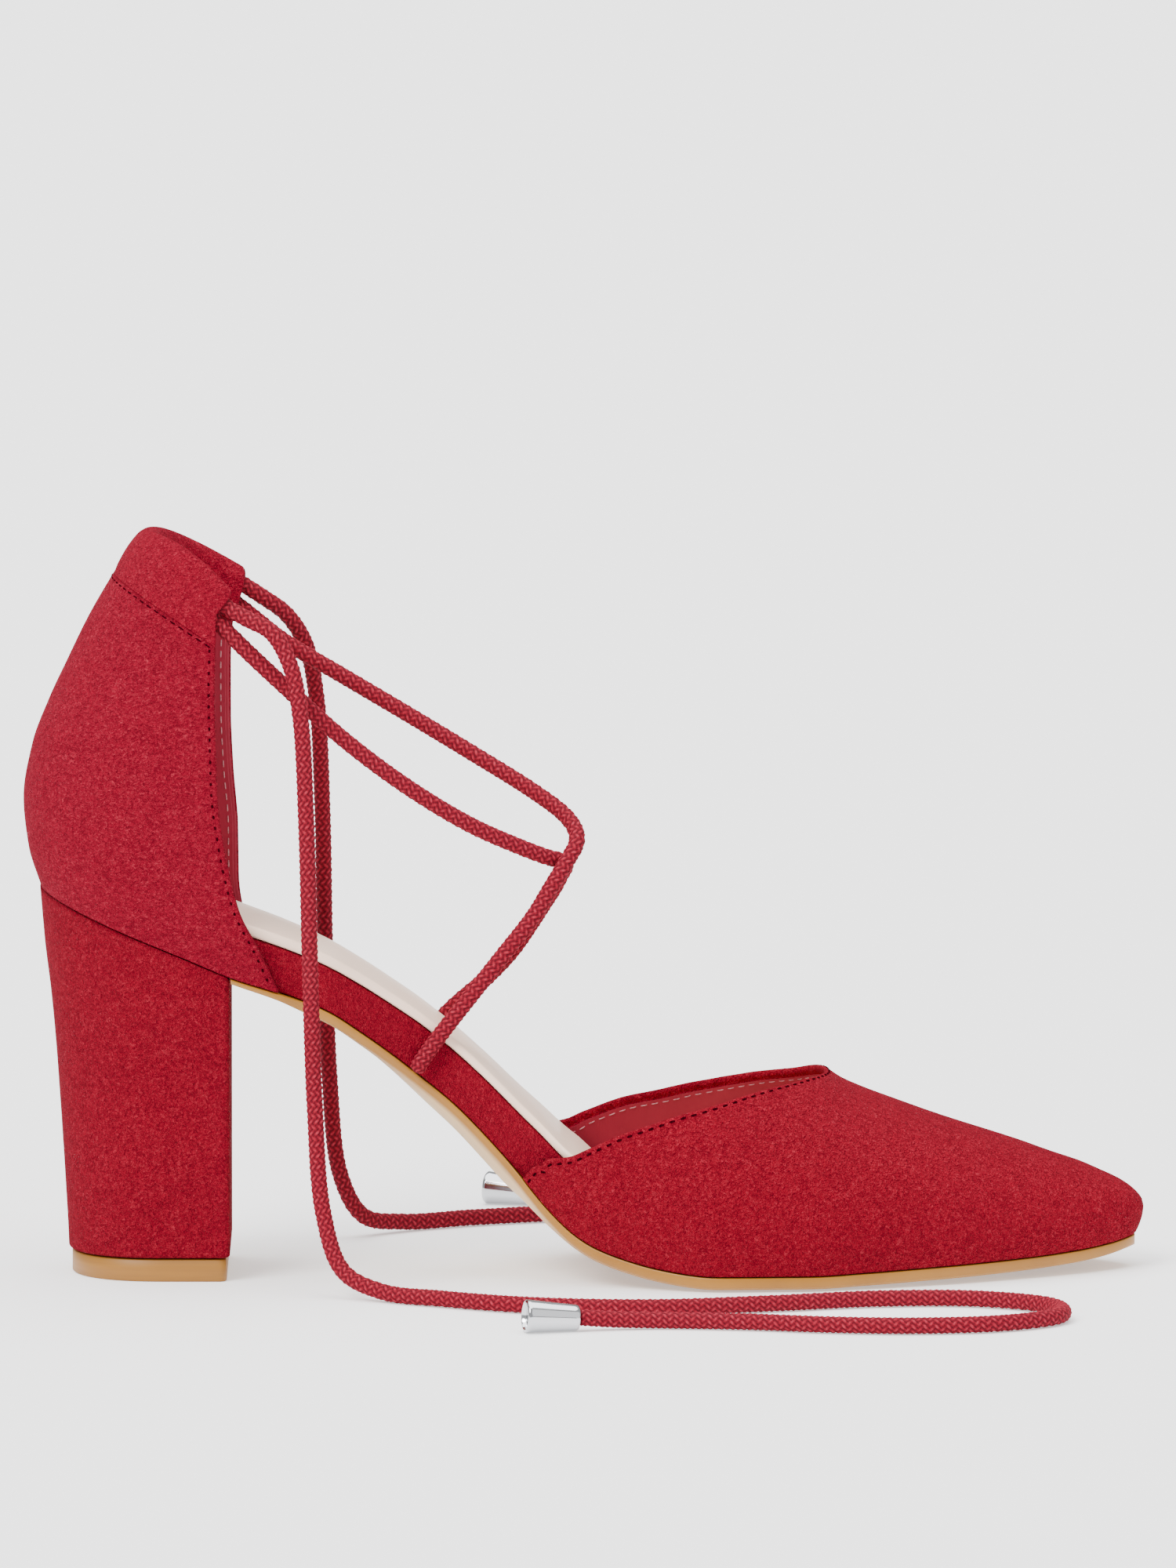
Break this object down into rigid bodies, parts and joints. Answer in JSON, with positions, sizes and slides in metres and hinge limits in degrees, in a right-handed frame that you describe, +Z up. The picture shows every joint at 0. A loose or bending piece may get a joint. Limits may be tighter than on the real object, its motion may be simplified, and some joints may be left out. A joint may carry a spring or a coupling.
{
  "type": "lace up heel",
  "caption": "Women's pointed pump with an open waist, a covered block heel and a round cord that crosses the instep and ends in free ties with metal ends.",
  "frame": {"origin": "on the floor under the middle of the shoe, without its free ties", "axes": "+X toe, +Y the medial side of this right shoe, +Z up"},
  "size_m": [0.2384, 0.2059, 0.1586],
  "materials": {
    "outsole": "satin, tan",
    "insole_board": "brushed suede cloth, red",
    "insole_sock": "smooth, cream",
    "heel_block": "brushed suede cloth, red",
    "heel_top_lift": "satin, tan",
    "vamp": "brushed suede cloth, red",
    "heel_counter": "brushed suede cloth, red",
    "instep_lacing": "round braid, red",
    "ankle_tie_lateral": "round braid, red",
    "tie_end_lateral": "polished",
    "ankle_tie_medial": "round braid, red",
    "tie_end_medial": "polished"
  },
  "bodies": {
    "root": {"outsole": "outsole", "insole_board": "insole_board", "insole_sock": "insole_sock", "heel_block": "heel_block", "heel_top_lift": "heel_top_lift", "vamp": "vamp", "heel_counter": "heel_counter", "instep_lacing": "instep_lacing", "ankle_tie_lateral": "ankle_tie_lateral", "tie_end_lateral": "tie_end_lateral", "ankle_tie_medial": "ankle_tie_medial", "tie_end_medial": "tie_end_medial"}
  },
  "joints": []
}
